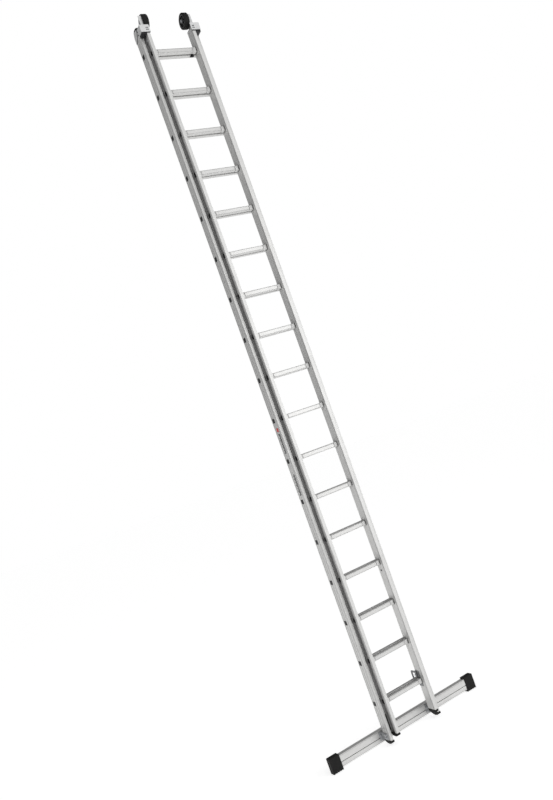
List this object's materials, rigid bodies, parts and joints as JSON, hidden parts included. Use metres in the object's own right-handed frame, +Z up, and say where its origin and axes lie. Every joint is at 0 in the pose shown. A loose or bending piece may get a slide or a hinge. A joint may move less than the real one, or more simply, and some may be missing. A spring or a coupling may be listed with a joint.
{
  "type": "extension ladder",
  "caption": "Two-section push-up extension ladder in aluminium, closed, with wall wheels, rung latches and a wide stabiliser bar at the foot.",
  "frame": {"origin": "on the ground, under the centre of the ladder's bounding box", "axes": "+X to the climber's right along the rungs, +Y towards the wall, +Z up along the stiles"},
  "size_m": [1.24, 0.199, 5.026],
  "materials": {
    "extruded_aluminium": "mill-finish extrusion, fine lines along its length",
    "rung_aluminium": "mill-finish extrusion with tread grooves",
    "plate_aluminium": "pressed plate, satin",
    "zinc_steel": "bright zinc plate",
    "latch_steel": "dark grey passivated steel",
    "foot_rubber": "moulded black rubber",
    "black_plastic": "moulded black plastic",
    "wheel_plastic": "moulded black plastic",
    "wheel_rubber": "soft black tread"
  },
  "bodies": {
    "base_section": {"base_stile_left": "extruded_aluminium", "base_stile_right": "extruded_aluminium", "base_rungs": "rung_aluminium", "base_foot_left": "foot_rubber", "base_foot_right": "foot_rubber", "base_cap_left": "black_plastic", "base_cap_right": "black_plastic", "guide_bracket_left": "plate_aluminium", "guide_bracket_right": "plate_aluminium", "guide_liner_left": "black_plastic", "guide_liner_right": "black_plastic", "guide_rivets": "zinc_steel", "cap_cover_plates": "plate_aluminium", "stabiliser_beam": "extruded_aluminium", "stabiliser_foot_left": "foot_rubber", "stabiliser_foot_right": "foot_rubber", "stabiliser_bracket_left": "plate_aluminium", "stabiliser_bracket_right": "plate_aluminium", "stabiliser_bolts": "zinc_steel", "rung_clips": "black_plastic"},
    "fly_section": {"fly_stile_left": "extruded_aluminium", "fly_stile_right": "extruded_aluminium", "fly_rung_01": "rung_aluminium", "fly_rung_02": "rung_aluminium", "fly_rung_03": "rung_aluminium", "fly_rung_04": "rung_aluminium", "fly_rung_05": "rung_aluminium", "fly_rung_06": "rung_aluminium", "fly_rung_07": "rung_aluminium", "fly_rung_08": "rung_aluminium", "fly_rung_09": "rung_aluminium", "fly_rung_10": "rung_aluminium", "fly_rung_11": "rung_aluminium", "fly_rung_12": "rung_aluminium", "fly_rung_13": "rung_aluminium", "fly_rung_14": "rung_aluminium", "fly_rung_15": "rung_aluminium", "fly_rung_16": "rung_aluminium", "fly_rung_17": "rung_aluminium", "fly_foot_left": "foot_rubber", "fly_foot_right": "foot_rubber", "fly_end_plugs": "black_plastic", "wheel_bracket_left": "plate_aluminium", "wheel_bracket_right": "plate_aluminium", "wheel_bracket_bolts": "zinc_steel", "wheel_axle_left": "zinc_steel", "wheel_axle_right": "zinc_steel", "wheel_nuts": "zinc_steel", "latch_mount_left": "latch_steel", "latch_mount_right": "latch_steel", "latch_pins": "zinc_steel", "latch_springs": "latch_steel", "glide_shoes": "black_plastic", "stop_rivets": "zinc_steel"},
    "wheel_left": {"wheel_hub_left": "wheel_plastic", "wheel_tyre_left": "wheel_rubber"},
    "wheel_right": {"wheel_hub_right": "wheel_plastic", "wheel_tyre_right": "wheel_rubber"},
    "latch_left": {"latch_hook_left": "latch_steel"},
    "latch_right": {"latch_hook_right": "latch_steel"}
  },
  "joints": [
    {"name": "fly_slide", "type": "slide", "parent": "base_section", "child": "fly_section", "axis": [0, 0, 1], "range_m": [0, 3.36]},
    {"name": "wheel_left_spin", "type": "hinge", "parent": "fly_section", "child": "wheel_left", "pos_m": [-0.1445, -0.0415, 4.975], "axis": [1, 0, 0], "continuous": true},
    {"name": "wheel_right_spin", "type": "hinge", "parent": "fly_section", "child": "wheel_right", "pos_m": [0.1445, -0.0415, 4.975], "axis": [1, 0, 0], "continuous": true},
    {"name": "latch_left_swing", "type": "hinge", "parent": "fly_section", "child": "latch_left", "pos_m": [-0.146, -0.0205, 0.326], "axis": [1, 0, 0], "range_deg": [0, 115], "stiffness_Nm_per_rad": 0.05, "springref_deg": -28.65},
    {"name": "latch_right_swing", "type": "hinge", "parent": "fly_section", "child": "latch_right", "pos_m": [0.146, -0.0205, 0.326], "axis": [1, 0, 0], "range_deg": [0, 115], "stiffness_Nm_per_rad": 0.05, "springref_deg": -28.65}
  ]
}
